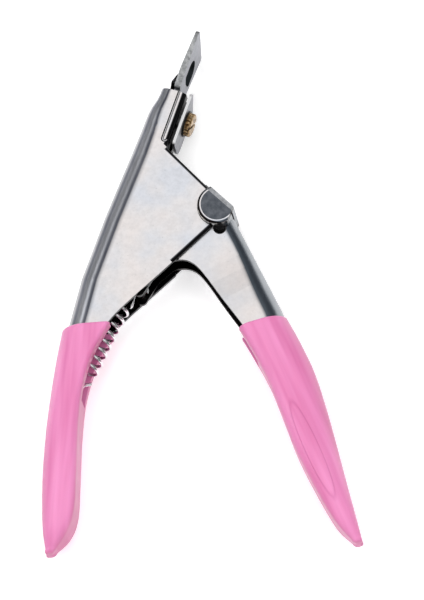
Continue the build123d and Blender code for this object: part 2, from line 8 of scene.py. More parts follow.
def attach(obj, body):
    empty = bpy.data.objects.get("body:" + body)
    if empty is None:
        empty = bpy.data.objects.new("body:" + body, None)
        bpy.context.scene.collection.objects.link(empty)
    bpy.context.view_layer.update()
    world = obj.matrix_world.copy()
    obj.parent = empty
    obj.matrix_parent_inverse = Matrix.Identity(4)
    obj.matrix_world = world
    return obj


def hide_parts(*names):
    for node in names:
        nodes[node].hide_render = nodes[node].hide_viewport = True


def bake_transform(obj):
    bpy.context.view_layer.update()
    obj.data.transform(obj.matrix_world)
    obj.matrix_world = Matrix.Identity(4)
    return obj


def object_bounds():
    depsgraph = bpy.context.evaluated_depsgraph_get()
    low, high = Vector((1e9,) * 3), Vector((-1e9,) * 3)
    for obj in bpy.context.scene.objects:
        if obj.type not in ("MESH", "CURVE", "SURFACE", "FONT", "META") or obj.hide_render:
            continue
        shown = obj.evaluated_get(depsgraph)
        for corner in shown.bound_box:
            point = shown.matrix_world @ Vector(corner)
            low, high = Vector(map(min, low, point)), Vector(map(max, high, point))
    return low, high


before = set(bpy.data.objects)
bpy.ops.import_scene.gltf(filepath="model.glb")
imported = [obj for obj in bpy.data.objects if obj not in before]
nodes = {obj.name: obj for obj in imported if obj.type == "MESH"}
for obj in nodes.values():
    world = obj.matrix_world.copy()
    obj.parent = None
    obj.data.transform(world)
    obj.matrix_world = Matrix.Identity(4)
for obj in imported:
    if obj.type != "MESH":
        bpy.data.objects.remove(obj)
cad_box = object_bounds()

MM = 0.001
MID = 7.0                                   # middle plane of the tool, mm
LEAN = math.radians(19.27)                  # lean of the neck from +Y toward +X
ALONG = Vector((math.sin(LEAN), math.cos(LEAN), 0))
FRONT = Vector((math.cos(LEAN), -math.sin(LEAN), 0))
STRAP_NORMAL = (0.687, 0.726)               # way the front strap of the lever faces
END_NORMAL = (0.917, -0.399)                # way the end of that strap faces
INWARD = (-0.898, -0.439)                   # from the lever's back into its channel
WHITE = (1.0, 1.0, 1.0)
# Black for painted shade on the frame's rolled edges and lips.
EDGE_PAINTED_SHADE = (0.012, 0.012, 0.013)
# Black for painted shade inside channels and on the end of the lever's strap.
PAINTED_SHADE_BLACK = (0.010, 0.010, 0.011)


# ---------------------------------------------------------------- materials
class Paint:
    """A node material with short ways to add the textures used here."""

    def __init__(self, name, **sockets):
        self.mat = bpy.data.materials.new(name)
        self.mat.use_nodes = True
        self.tree = self.mat.node_tree
        self.bsdf = self.tree.nodes["Principled BSDF"]
        self.coords = self.add("ShaderNodeTexCoord").outputs["Object"]
        for key, value in sockets.items():
            self.bsdf.inputs[key.replace("_", " ")].default_value = value

    def add(self, kind, **settings):
        node = self.tree.nodes.new(kind)
        for key, value in settings.items():
            setattr(node, key, value)
        return node

    def link(self, source, target):
        self.tree.links.new(source, target)

    def noise(self, size, detail=4.0, rough=0.55, stretch=None, distortion=0.0, source=None):
        """Noise whose features are about size mm across, as a 0..1 value.

        stretch is a turn about Z and a scale; the scale acts first, on the object's own axes.
        """
        node = self.add("ShaderNodeTexNoise")
        node.inputs["Scale"].default_value = 1.0 / (size * MM)
        node.inputs["Detail"].default_value = detail
        node.inputs["Roughness"].default_value = rough
        node.inputs["Distortion"].default_value = distortion
        source = source or self.coords
        if stretch is not None:
            mapping = self.add("ShaderNodeMapping")
            mapping.inputs["Rotation"].default_value = (0, 0, stretch[0])
            mapping.inputs["Scale"].default_value = stretch[1]
            self.link(source, mapping.inputs["Vector"])
            source = mapping.outputs["Vector"]
        self.link(source, node.inputs["Vector"])
        return node.outputs["Fac"]

    def ramp(self, value, *stops):
        """Colour ramp from (position, colour) stops; a colour may be one grey number."""
        node = self.add("ShaderNodeValToRGB")
        elements = node.color_ramp.elements
        while len(elements) < len(stops):
            elements.new(0.5)
        for element, (position, colour) in zip(elements, stops):
            element.position = position
            if isinstance(colour, (int, float)):
                colour = (colour, colour, colour)
            element.color = (*colour, 1.0)
        self.link(value, node.inputs["Fac"])
        return node.outputs["Color"]

    def mix(self, factor, a, b, mode="MIX"):
        node = self.add("ShaderNodeMix", data_type="RGBA", blend_type=mode)
        for socket, value in ((node.inputs["Factor"], factor), (node.inputs["A"], a), (node.inputs["B"], b)):
            self.plug(value, socket)
        return node.outputs["Result"]

    def math(self, operation, a, b=0.0, c=0.0):
        node = self.add("ShaderNodeMath", operation=operation)
        for socket, value in zip(node.inputs, (a, b, c)):
            self.plug(value, socket)
        return node.outputs["Value"]

    def plug(self, value, socket):
        if isinstance(value, bpy.types.NodeSocket):
            self.link(value, socket)
        elif socket.type == "RGBA":
            socket.default_value = (*value, 1.0) if len(value) == 3 else value
        else:
            socket.default_value = value

    def spread(self, value, low, high):
        """A 0..1 value moved to the range low..high."""
        node = self.add("ShaderNodeMapRange")
        self.link(value, node.inputs["Value"])
        node.inputs["To Min"].default_value = low
        node.inputs["To Max"].default_value = high
        return node.outputs["Result"]

    def bump(self, height, strength, depth):
        """Bump from a 0..1 height; depth in mm. Several calls stack."""
        node = self.add("ShaderNodeBump")
        node.inputs["Strength"].default_value = strength
        node.inputs["Distance"].default_value = depth * MM
        self.link(height, node.inputs["Height"])
        old = self.bsdf.inputs["Normal"]
        if old.is_linked:
            self.link(old.links[0].from_socket, node.inputs["Normal"])
        self.link(node.outputs["Normal"], old)

    def facing_up(self):
        """How squarely the surface faces up or down: 1 on the side plates."""
        geometry = self.add("ShaderNodeNewGeometry")
        split = self.add("ShaderNodeSeparateXYZ")
        self.link(geometry.outputs["Normal"], split.inputs["Vector"])
        return self.math("ABSOLUTE", split.outputs["Z"])

    def place(self):
        split = self.add("ShaderNodeSeparateXYZ")
        self.link(self.coords, split.inputs["Vector"])
        return split.outputs

    def lift(self, place):
        """Distance above or below the middle plane of the tool."""
        return self.math("ABSOLUTE", self.math("SUBTRACT", place["Z"], MID * MM))

    def squares(self, a, b):
        return self.math("ADD", self.math("MULTIPLY", a, a), self.math("MULTIPLY", b, b))

    def out_along(self, place, direction):
        """Distance from the pivot axis along a direction in the XY plane."""
        run_x = self.math("MULTIPLY", place["X"], direction[0])
        return self.math("ADD", run_x, self.math("MULTIPLY", place["Y"], direction[1]))

    def shade_inside(self, colour, reach, dark):
        """Painted shade: darkens recesses of the object itself within reach mm."""
        ao = self.add("ShaderNodeAmbientOcclusion", only_local=True, samples=8)
        ao.inputs["Distance"].default_value = reach * MM
        shade = self.ramp(ao.outputs["AO"], (0.25, dark), (0.75, 1.0))
        return self.mix(1.0, colour, shade, "MULTIPLY")


def toward(p, vector):
    """How squarely the surface faces a fixed direction, from -1 to 1."""
    geometry = p.add("ShaderNodeNewGeometry")
    dot = p.add("ShaderNodeVectorMath", operation="DOT_PRODUCT")
    p.link(geometry.outputs["Normal"], dot.inputs[0])
    dot.inputs[1].default_value = tuple(vector)
    return dot.outputs["Value"]


FACING_IN = -0.02                           # upward normal times height, in mm, on an inner face


def inner_side(p, place):
    """1 on the inner faces of a channel, which face its middle plane."""
    height = p.math("SUBTRACT", place["Z"], MID * MM)
    return p.math("LESS_THAN", p.math("MULTIPLY", toward(p, (0, 0, 1)), height), FACING_IN * MM)


def plate_tone(p, warm):
    """Blotched bright plating of the flat sides, drifting between warm and cool."""
    cloud = p.noise(13.0, detail=3, rough=0.5)
    grain = p.noise(1.3, detail=5, rough=0.7)
    cool, even, warmer = (0.86, 0.88, 0.93), (0.95, 0.925, 0.925), (0.99, 0.93, 0.905)
    flat = p.ramp(cloud, (0.36, cool), (0.50, even), (0.64, warmer))
    flat = p.mix(warm, flat, p.ramp(grain, (0.33, 0.76), (0.62, 0.99)), "MULTIPLY")
    speck = p.ramp(p.noise(0.6, detail=2), (0.68, 1.0), (0.78, 0.66))
    return p.mix(0.6, flat, speck, "MULTIPLY")


FRAME_INSIDE = 4.3                          # half the space between the frame's side walls
BACK_FACES = (-1, 0, 0)                     # way the outer back of the frame faces
FREE_EDGE_FACES = (1, 0, 0)                 # way its free edges and lips face


def plated_steel():
    p = Paint("plated_steel", Metallic=1.0)
    flat = plate_tone(p, 0.45)
    streak = p.noise(3.0, detail=5, stretch=(-LEAN, (1.0, 0.10, 1.0)))
    painted_dark_band = p.ramp(streak, (0.3, (0.085, 0.09, 0.11)), (0.7, (0.15, 0.155, 0.18)))
    painted_back_grey = p.ramp(streak, (0.3, (0.29, 0.295, 0.31)), (0.7, (0.40, 0.40, 0.415)))
    painted_light_band = p.ramp(streak, (0.3, (0.38, 0.39, 0.42)), (0.7, (0.52, 0.53, 0.56)))
    # Painted reflection round the back, by which way the surface faces, away from the flat: dark line, light
    # band, dark band, even grey.
    up = p.facing_up()
    colour = p.mix(p.ramp(up, (0.52, 0.0), (0.66, 1.0)), painted_back_grey, painted_dark_band)
    colour = p.mix(p.ramp(up, (0.74, 0.0), (0.84, 1.0)), colour, painted_light_band)
    colour = p.mix(p.ramp(up, (0.925, 0.0), (0.965, 1.0)), colour, painted_dark_band)
    colour = p.mix(p.ramp(up, (0.985, 0.0), (0.998, 1.0)), colour, flat)
    # The rolled free edges and the lips get black painted shade.
    edge = p.ramp(toward(p, FREE_EDGE_FACES), (0.14, 0.0), (0.26, 1.0))
    colour = p.mix(edge, colour, EDGE_PAINTED_SHADE)
    # So does the inside of the channel: its inner faces, and all between the walls but the outer back.
    place = p.place()
    between = p.math("LESS_THAN", p.lift(place), FRAME_INSIDE * MM)
    inside = p.math("MULTIPLY", between, p.math("LESS_THAN", toward(p, BACK_FACES), 0.05))
    colour = p.mix(p.math("MAXIMUM", inside, inner_side(p, place)), colour, PAINTED_SHADE_BLACK)
    p.plug(p.shade_inside(colour, 5.0, 0.05), p.bsdf.inputs["Base Color"])
    p.plug(p.spread(p.noise(9.0), 0.26, 0.36), p.bsdf.inputs["Roughness"])
    p.bump(p.noise(0.35, detail=3), 0.10, 0.02)
    p.bump(p.noise(6.0, detail=2), 0.12, 0.05)
    return p


# Black for painted shade on the lever.
LEVER_PAINTED_SHADE = (0.014, 0.012, 0.012)
ARM_HIDDEN = -9.5                           # the arm is inside the frame beyond this X
LUG_FOOT = 5.3                              # the lugs start this far from the middle plane
LUG_FACE_R = 4.0                            # worn face inside the lug's rim
STRAP_LINE = 1.08                           # the strap starts this far out from the pivot axis
DIMPLE = (0.3, -5.0)
DIMPLE_R = 1.62
DIMPLE_TOP = 4.0                            # the dimple lies nearer the middle plane than this


def lever_steel():
    p = Paint("lever_steel", Metallic=1.0)
    flat = plate_tone(p, 0.35)
    streak = p.noise(3.0, detail=5, stretch=(math.radians(26), (1.0, 0.10, 1.0)))
    band = p.ramp(streak, (0.3, (0.085, 0.105, 0.13)), (0.7, (0.15, 0.175, 0.205)))
    edge_tone = p.ramp(streak, (0.3, (0.25, 0.27, 0.285)), (0.7, (0.34, 0.355, 0.375)))
    # Painted reflection by which way the surface faces: round the back, away from the flat, a dark band,
    # then grey.
    up = p.facing_up()
    colour = p.mix(p.ramp(up, (0.66, 0.0), (0.82, 1.0)), edge_tone, band)
    colour = p.mix(p.ramp(up, (0.965, 0.0), (0.995, 1.0)), colour, flat)
    place = p.place()
    lift = p.lift(place)
    x, y = place["X"], place["Y"]
    # Painted shade, black: the channel's thin inner edges, its inner faces and the arm inside the frame.
    hidden = p.math("GREATER_THAN", toward(p, (*INWARD, 0)), 0.2)
    hidden = p.math("MAXIMUM", hidden, inner_side(p, place))
    hidden = p.math("MAXIMUM", hidden, p.math("LESS_THAN", x, ARM_HIDDEN * MM))
    colour = p.mix(hidden, colour, LEVER_PAINTED_SHADE)
    # Lug: a dark worn face inside a bright turned rim, over a polished shoulder painted in patches of shade
    # and highlight.
    radius = p.math("SQRT", p.squares(x, y))
    on_lug = p.math("GREATER_THAN", lift, LUG_FOOT * MM)
    outward = p.out_along(place, STRAP_NORMAL)
    inside_rim = p.math("LESS_THAN", radius, LUG_FACE_R * MM)
    behind_strap = p.math("LESS_THAN", outward, STRAP_LINE * MM)
    face = p.math("MULTIPLY", p.math("MULTIPLY", inside_rim, behind_strap), on_lug)
    worn = p.ramp(p.noise(1.4, detail=5), (0.35, (0.11, 0.125, 0.145)), (0.65, (0.20, 0.215, 0.24)))
    strap = p.math("MULTIPLY", on_lug, p.math("GREATER_THAN", outward, STRAP_LINE * MM))
    strap_tone = p.ramp(p.noise(0.9, detail=4), (0.35, (0.30, 0.31, 0.325)), (0.65, (0.46, 0.47, 0.485)))
    wall = p.math("MULTIPLY", on_lug, p.math("LESS_THAN", up, 0.45))
    shoulder_painted_light = p.ramp(p.noise(2.2, detail=2), (0.42, (0.015, 0.015, 0.016)), (0.56, (0.55, 0.54, 0.50)))
    colour = p.mix(strap, colour, strap_tone)
    colour = p.mix(wall, colour, shoulder_painted_light)
    colour = p.mix(face, colour, worn)
    # Painted shade, black, on the end of the strap.
    end = p.math("MULTIPLY", on_lug, p.math("GREATER_THAN", toward(p, (*END_NORMAL, 0)), 0.8))
    colour = p.mix(end, colour, PAINTED_SHADE_BLACK)
    # The pressed dimple below the lug gets grey painted shade.
    dx, dy = p.math("SUBTRACT", x, DIMPLE[0] * MM), p.math("SUBTRACT", y, DIMPLE[1] * MM)
    in_dimple = p.math("LESS_THAN", p.math("SQRT", p.squares(dx, dy)), DIMPLE_R * MM)
    dimple = p.math("MULTIPLY", in_dimple, p.math("LESS_THAN", lift, DIMPLE_TOP * MM))
    shade = p.ramp(p.noise(1.5, detail=3), (0.35, (0.10, 0.10, 0.105)), (0.65, (0.24, 0.24, 0.245)))
    colour = p.mix(dimple, colour, shade)
    p.plug(p.shade_inside(colour, 5.0, 0.03), p.bsdf.inputs["Base Color"])
    rough = p.spread(p.noise(9.0), 0.26, 0.36)
    rough = p.math("MULTIPLY_ADD", on_lug, -0.10, rough)
    p.plug(p.math("MULTIPLY_ADD", face, 0.34, rough), p.bsdf.inputs["Roughness"])
    p.bump(p.noise(0.35, detail=3), 0.10, 0.02)
    p.bump(p.noise(6.0, detail=2), 0.12, 0.05)
    return p


HOLE_REACH = 3.3                            # the hole's walls lie nearer the middle plane than this
HOLE_TOP = 35.5                             # and lower on the neck than this


def ring_steel():
    p = Paint("ring_steel", Metallic=1.0)
    blotch = p.noise(1.1, detail=5, rough=0.65)
    front_tone = p.ramp(blotch, (0.32, (0.25, 0.255, 0.28)), (0.66, (0.36, 0.365, 0.395)))
    edge_tone = p.ramp(blotch, (0.36, (0.26, 0.27, 0.275)), (0.62, (0.60, 0.61, 0.615)))
    up = p.facing_up()
    colour = p.mix(p.ramp(up, (0.4, 0.0), (0.6, 1.0)), front_tone, edge_tone)
    place = p.place()
    # Painted shade, near black, on the walls of the nail hole and the step down to the shank.
    near = p.math("LESS_THAN", p.lift(place), HOLE_REACH * MM)
    hole = p.math("MULTIPLY", near, p.math("LESS_THAN", p.out_along(place, ALONG), HOLE_TOP * MM))
    hole = p.math("MULTIPLY", hole, p.math("LESS_THAN", p.math("ABSOLUTE", toward(p, FRONT)), 0.5))
    colour = p.mix(hole, colour, (0.025, 0.03, 0.034))
    p.plug(p.shade_inside(colour, 3.0, 0.2), p.bsdf.inputs["Base Color"])
    p.plug(p.spread(blotch, 0.40, 0.52), p.bsdf.inputs["Roughness"])
    p.bump(p.noise(0.35, detail=4), 0.28, 0.03)
    return p


def head_steel():
    p = Paint("head_steel", Metallic=1.0)
    blotch = p.noise(1.3, detail=4, rough=0.6)
    colour = p.ramp(blotch, (0.32, (0.26, 0.265, 0.29)), (0.66, (0.38, 0.385, 0.41)))
    # Faces that point up or down get a painted highlight, near white.
    colour = p.mix(p.ramp(p.facing_up(), (0.5, 0.0), (0.8, 1.0)), colour, (0.95, 0.95, 0.95))
    p.plug(p.shade_inside(colour, 3.0, 0.15), p.bsdf.inputs["Base Color"])
    p.plug(p.spread(blotch, 0.42, 0.55), p.bsdf.inputs["Roughness"])
    p.bump(p.noise(0.3, detail=3), 0.2, 0.02)
    return p


def blade_steel():
    p = Paint("blade_steel", Metallic=1.0)
    blotch = p.noise(1.5, detail=4)
    colour = p.ramp(blotch, (0.3, (0.010, 0.010, 0.011)), (0.7, (0.03, 0.03, 0.032)))
    bevel = p.math("GREATER_THAN", toward(p, ALONG), 0.25)
    p.plug(p.mix(bevel, colour, (0.62, 0.63, 0.65)), p.bsdf.inputs["Base Color"])
    p.bsdf.inputs["Roughness"].default_value = 0.3
    p.bump(p.noise(0.5, stretch=(-LEAN, (1.0, 0.1, 1.0))), 0.25, 0.02)
    return p


def dark_steel():
    p = Paint("dark_steel", Metallic=1.0, Roughness=0.42)
    colour = p.ramp(p.noise(1.0, detail=4), (0.3, (0.02, 0.019, 0.018)), (0.7, (0.06, 0.056, 0.05)))
    p.plug(colour, p.bsdf.inputs["Base Color"])
    p.bump(p.noise(0.3), 0.3, 0.02)
    return p


def pin_steel():
    p = Paint("pin_steel", Metallic=1.0, Roughness=0.3)
    colour = p.ramp(p.noise(0.6, stretch=(0, (1.0, 1.0, 6.0))), (0.3, 0.38), (0.7, 0.62))
    p.plug(colour, p.bsdf.inputs["Base Color"])
    p.bump(p.noise(0.3), 0.15, 0.01)
    return p


def spring_wire():
    p = Paint("spring_wire", Metallic=1.0, Roughness=0.16)
    colour = p.ramp(p.noise(1.2, detail=3), (0.3, (0.70, 0.70, 0.71)), (0.7, (0.92, 0.92, 0.93)))
    p.plug(p.shade_inside(colour, 2.2, 0.12), p.bsdf.inputs["Base Color"])
    p.bump(p.noise(0.25), 0.08, 0.01)
    return p


def screw_brass():
    p = Paint("screw_brass", Metallic=1.0)
    blotch = p.noise(1.0, detail=5, rough=0.65, distortion=0.4)
    tarnish, dull, bright = (0.05, 0.028, 0.012), (0.32, 0.20, 0.09), (0.80, 0.62, 0.40)
    colour = p.ramp(blotch, (0.36, tarnish), (0.50, dull), (0.64, bright))
    p.plug(p.shade_inside(colour, 0.8, 0.2), p.bsdf.inputs["Base Color"])
    p.plug(p.spread(blotch, 0.42, 0.24), p.bsdf.inputs["Roughness"])
    p.bump(p.noise(0.35, detail=4), 0.35, 0.05)
    return p


def along_handle(p, centre, lean, scale):
    """Coordinates turned to run down a leaning handle, in units of scale (x, y) in mm."""
    mapping = p.add("ShaderNodeMapping", vector_type="TEXTURE")
    mapping.inputs["Location"].default_value = (centre[0] * MM, centre[1] * MM, 0)
    mapping.inputs["Rotation"].default_value = (0, 0, lean)
    mapping.inputs["Scale"].default_value = (scale[0] * MM, scale[1] * MM, 1)
    p.link(p.coords, mapping.inputs["Vector"])
    return mapping.outputs["Vector"]


BAND = (2.6, 38.0)                          # width and length of the soft bands, mm
ONE_UNIT = 1 / MM                           # noise size for coordinates already in units of a band


def grip_vinyl(name, centre, lean, panel=None):
    """Dipped vinyl whose soft bands run down the handle; panel is a half width and half length."""
    p = Paint(name, IOR=1.46, Coat_Weight=0.12, Coat_Roughness=0.18)
    p.bsdf.inputs["Specular IOR Level"].default_value = 0.35
    p.bsdf.inputs["Subsurface Weight"].default_value = 0.12
    p.bsdf.inputs["Subsurface Radius"].default_value = (0.9 * MM, 0.35 * MM, 0.5 * MM)
    p.bsdf.inputs["Subsurface Scale"].default_value = 1.0
    wave = p.noise(ONE_UNIT, detail=2, rough=0.45, source=along_handle(p, centre, lean, BAND))
    deep, pink, pale = (0.68, 0.175, 0.385), (0.76, 0.235, 0.47), (0.83, 0.29, 0.545)
    # The colour follows the bump's wave: painted shade and light along the soft ridges.
    colour = p.ramp(wave, (0.30, deep), (0.50, pink), (0.70, pale))
    # Painted shade on the rounded edges and sides, which face away from up and down.
    painted_side_shade = p.ramp(p.facing_up(), (0.05, (0.74, 0.40, 0.56)), (0.70, WHITE))
    colour = p.mix(0.9, colour, painted_side_shade, "MULTIPLY")
    p.bump(p.noise(5.0, detail=2), 0.18, 0.12)
    p.bump(wave, 0.15, 0.08)
    p.bump(p.noise(0.5, detail=3), 0.05, 0.02)
    if panel:
        split = p.add("ShaderNodeSeparateXYZ")
        p.link(along_handle(p, centre, lean, panel), split.inputs["Vector"])
        # Square of the distance from the panel's middle: 1 on its outline.
        away = p.squares(split.outputs["X"], split.outputs["Y"])
        p.bump(p.ramp(away, (0.55, 0.0), (0.78, 1.0), (0.98, 0.0)), 0.5, 0.25)
        rim = p.ramp(away, (0.62, WHITE), (0.80, (0.90, 0.80, 0.86)), (0.98, WHITE))
        colour = p.mix(1.0, colour, rim, "MULTIPLY")
    p.plug(p.shade_inside(colour, 4.0, 0.35), p.bsdf.inputs["Base Color"])
    p.plug(p.spread(p.noise(2.5, detail=4), 0.26, 0.38), p.bsdf.inputs["Roughness"])
    return p


steel = plated_steel()
lever_skin = lever_steel()
ring = ring_steel()
head = head_steel()
blade = blade_steel()
dark = dark_steel()
bright_pin = pin_steel()
wire = spring_wire()
brass = screw_brass()
frame_vinyl = grip_vinyl("frame_vinyl", (-37.5, -56.0), math.radians(-4.6))
lever_vinyl = grip_vinyl("lever_vinyl", (22.6, -62.0), math.radians(23), panel=(1.9, 14.4))

SKINS = {
    "main_frame": steel,
    "lever": lever_skin,
    "cutting_ring": ring,
    "clamp_plate": head,
    "screw_washer": dark,
    "clamp_screw": brass,
    "sliding_blade": blade,
    "blade_carrier": dark,
    "drive_pin": bright_pin,
    "spring_lever_pin": bright_pin,
    "spring_anchor_pin": bright_pin,
}
for name, skin in SKINS.items():
    mesh = nodes[name].data
    mesh.materials.clear()
    mesh.materials.append(skin.mat)


# ---------------------------------------------------------------- mesh helpers
def new_object(name, vertices, faces, skin):
    mesh = bpy.data.meshes.new(name)
    mesh.from_pydata([tuple(v) for v in vertices], [], faces)
    mesh.validate()
    mesh.update()
    obj = bpy.data.objects.new(name, mesh)
    bpy.context.scene.collection.objects.link(obj)
    mesh.materials.append(skin.mat)
    return obj


def face_outward(obj):
    work = bmesh.new()
    work.from_mesh(obj.data)
    bmesh.ops.recalc_face_normals(work, faces=work.faces)
    work.to_mesh(obj.data)
    work.free()


def smooth(obj, angle=35):
    obj.data.shade_smooth()
    obj.data.set_sharp_from_angle(angle=math.radians(angle))


def apply_modifiers(obj):
    """Replaces the mesh by its modified result."""
    graph = bpy.context.evaluated_depsgraph_get()
    mesh = bpy.data.meshes.new_from_object(obj.evaluated_get(graph))
    obj.modifiers.clear()
    obj.data = mesh


def cut(obj, cutter):
    modifier = obj.modifiers.new("cut", "BOOLEAN")
    modifier.operation = "DIFFERENCE"
    modifier.solver = "EXACT"
    modifier.object = cutter
    bpy.context.view_layer.update()
    apply_modifiers(obj)
    bpy.data.objects.remove(cutter)


def catmull(values, t):
    """Smooth curve through a list of numbers or vectors, t from 0 to len-1."""
    i = min(int(t), len(values) - 2)
    f = t - i
    before = values[max(i - 1, 0)]
    a, b = values[i], values[i + 1]
    after = values[min(i + 2, len(values) - 1)]
    return 0.5 * (
        2 * a + (b - before) * f
        + (2 * before - 5 * a + 4 * b - after) * f * f
        + (3 * a - before - 3 * b + after) * f * f * f
    )


def bridge(rings):
    """Quads between successive closed rings of the same size."""
    size = len(rings[0])
    faces = []
    for i in range(len(rings) - 1):
        for j in range(size):
            k = (j + 1) % size
            faces.append((i * size + j, i * size + k, (i + 1) * size + k, (i + 1) * size + j))
    faces.append(tuple(range(size)))
    faces.append(tuple(reversed(range((len(rings) - 1) * size, len(rings) * size))))
    return faces


ARC_STEPS = 9
SIDE_STEPS = 7


def grip_ring(left, right, half, r_left, r_right):
    """Closed ring of points round a grip, in mm."""
    across = right - left
    width = across.length
    across = across / width
    corners = [
        (width - r_right, half - r_right, r_right, 0),
        (r_left, half - r_left, r_left, 1),
        (r_left, r_left - half, r_left, 2),
        (width - r_right, r_right - half, r_right, 3),
    ]
    flat = []
    for x, z, radius, quarter in corners:
        for step in range(ARC_STEPS + 1):
            angle = (quarter + step / ARC_STEPS) * math.pi / 2
            flat.append((x + radius * math.cos(angle), z + radius * math.sin(angle)))
        next_x, next_z, next_radius, _ = corners[(quarter + 1) % 4]
        angle = (quarter + 1) * math.pi / 2
        end = (next_x + next_radius * math.cos(angle), next_z + next_radius * math.sin(angle))
        start = flat[-1]
        for step in range(1, SIDE_STEPS):
            f = step / SIDE_STEPS
            flat.append((start[0] + (end[0] - start[0]) * f, start[1] + (end[1] - start[1]) * f))
    return [Vector((left.x + across.x * x, left.y + across.y * x, MID + z)) for x, z in flat]


RINGS_PER_SPAN = 9
HEAD_LIP = 0.45                             # rounded edge at the open end, mm
TAIL_SHARE = 0.9                            # rounded tip, as a share of the last corner radius
HEAD_STEPS = 5
TAIL_STEPS = 7


def grip_mesh(name, stations, skin):
    """Lofts a grip through stations of (left, right, half, r_left, r_right)."""
    columns = []
    for i in range(5):
        columns.append([Vector((*s[i], 0)) if i < 2 else s[i] for s in stations])
    total = len(stations) - 1
    rings = []
    count = total * RINGS_PER_SPAN
    for k in range(count + 1):
        t = total * k / count
        rings.append(grip_ring(*[catmull(column, t) for column in columns]))

    def shrunk(ring, amount, shift):
        centre = sum(ring, Vector()) / len(ring)
        out = []
        for point in ring:
            away = point - centre
            out.append(centre + away * max(0.0, 1 - amount / away.length) + shift)
        return out

    def cap(ring, neighbour, size, steps):
        """Rounded edge and end beyond a ring, listed from the ring outward."""
        a = sum(ring, Vector()) / len(ring)
        b = sum(neighbour, Vector()) / len(neighbour)
        out_dir = (a - b).normalized()
        result = []
        for step in range(1, steps + 1):
            angle = step / steps * math.pi / 2
            result.append(shrunk(ring, size * (1 - math.cos(angle)), out_dir * size * math.sin(angle)))
        return result

    head_cap = cap(rings[0], rings[1], HEAD_LIP, HEAD_STEPS)
    tail_cap = cap(rings[-1], rings[-2], stations[-1][3] * TAIL_SHARE, TAIL_STEPS)
    rings = list(reversed(head_cap)) + rings + tail_cap
    points = [point * MM for ring in rings for point in ring]
    obj = new_object(name, points, bridge(rings), skin)
    face_outward(obj)
    return obj


def prism(name, outline, low, high, skin):
    """Closed prism over an outline, in mm, from height low to high."""
    count = len(outline)
    points = [Vector((x, y, z)) * MM for z in (low, high) for x, y in outline]
    faces = [tuple(reversed(range(count))), tuple(range(count, 2 * count))]
    for i in range(count):
        j = (i + 1) % count
        faces.append((i, j, count + j, count + i))
    obj = new_object(name, points, faces, skin)
    face_outward(obj)
    return obj


def arc(cx, cy, radius, start, end, steps=10):
    out = []
    for i in range(steps + 1):
        angle = math.radians(start + (end - start) * i / steps)
        out.append((cx + radius * math.cos(angle), cy + radius * math.sin(angle)))
    return out


# ---------------------------------------------------------------- fixed grip
GRIP_HALF = 6.8
fixed_stations = [
    ((-37.7, -29.3), (-25.9, -28.8), GRIP_HALF, 6.0, 1.1),
    ((-39.0, -36.0), (-29.9, -36.0), GRIP_HALF, 6.0, 1.2),
    ((-40.2, -44.5), (-32.4, -44.5), GRIP_HALF, 5.2, 1.4),
    ((-41.4, -54.0), (-33.4, -54.0), GRIP_HALF, 5.2, 1.8),
    ((-42.2, -65.0), (-33.8, -65.0), GRIP_HALF, 5.2, 2.0),
    ((-42.3, -74.0), (-34.3, -74.2), 6.5, 4.8, 2.0),
    ((-42.0, -79.6), (-36.0, -79.4), 5.4, 3.0, 1.7),
    ((-41.5, -83.4), (-38.9, -83.2), 3.0, 1.25, 1.25),
]
frame_grip = grip_mesh("frame_grip_skin", fixed_stations, frame_vinyl)
POCKET_HALF = 3.25
pocket_foot = arc(-33.7, -44.2, 2.7, 180, 270)
pocket_outline = [(-20, -20), (-33.9, -20), (-33.9, -29)] + pocket_foot + [(-20, -46.9)]
cut(frame_grip, prism("pocket", pocket_outline, MID - POCKET_HALF, MID + POCKET_HALF, frame_vinyl))
smooth(frame_grip)
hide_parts("frame_grip")
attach(frame_grip, "frame")

# ---------------------------------------------------------------- lever grip
lever_stations = [
    ((5.0, -30.9), (16.2, -27.7), GRIP_HALF, 2.6, 6.0),
    ((8.2, -36.6), (19.1, -33.2), GRIP_HALF, 2.8, 6.0),
    ((11.9, -44.0), (22.6, -41.0), GRIP_HALF, 3.0, 6.0),
    ((15.2, -52.8), (25.4, -50.0), GRIP_HALF, 3.0, 6.0),
    ((18.4, -61.4), (27.8, -59.2), GRIP_HALF, 2.8, 5.6),
    ((22.8, -70.6), (30.2, -68.8), 6.5, 2.6, 4.4),
    ((27.4, -78.8), (32.4, -77.4), 5.4, 1.8, 2.8),
    ((31.3, -83.3), (33.7, -82.7), 3.0, 1.2, 1.2),
]
lever_grip = grip_mesh("lever_grip_skin", lever_stations, lever_vinyl)
mouth_outline = [(0, -24), (3.5, -36.0), (9.4, -38.4), (14.4, -32.4), (12.0, -24)]
MOUTH_HALF = 3.3
cut(lever_grip, prism("mouth", mouth_outline, MID - MOUTH_HALF, MID + MOUTH_HALF, lever_vinyl))
smooth(lever_grip)
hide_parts("lever_grip")
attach(lever_grip, "lever")


# ---------------------------------------------------------------- return spring
WIRE_R = 0.4
COIL_R = 2.35
COIL_COUNT = 8.5
SPRING_PIN = Vector((-18.9, -18.9, MID))
SPRING_PIN_R = 0.8
ANCHOR = Vector((-34.3, -42.0, MID))
ANCHOR_R = 1.0
SPRING_TOP = Vector((-23.3, -21.5, MID))
SPRING_FOOT = Vector((-31.9, -39.2, MID))
HOOK_GAP = 0.25
axis = (SPRING_TOP - SPRING_FOOT).normalized()
side = Vector((axis.y, -axis.x, 0))
up = Vector((0, 0, 1))


def hook(centre, radius, turns):
    """Points round a pin; a turn of 0 is the right-hand side, 0.5 the far end."""
    out = []
    for turn in turns:
        angle = turn * math.pi
        out.append(centre + side * radius * math.cos(angle) + axis * radius * math.sin(angle))
    return out


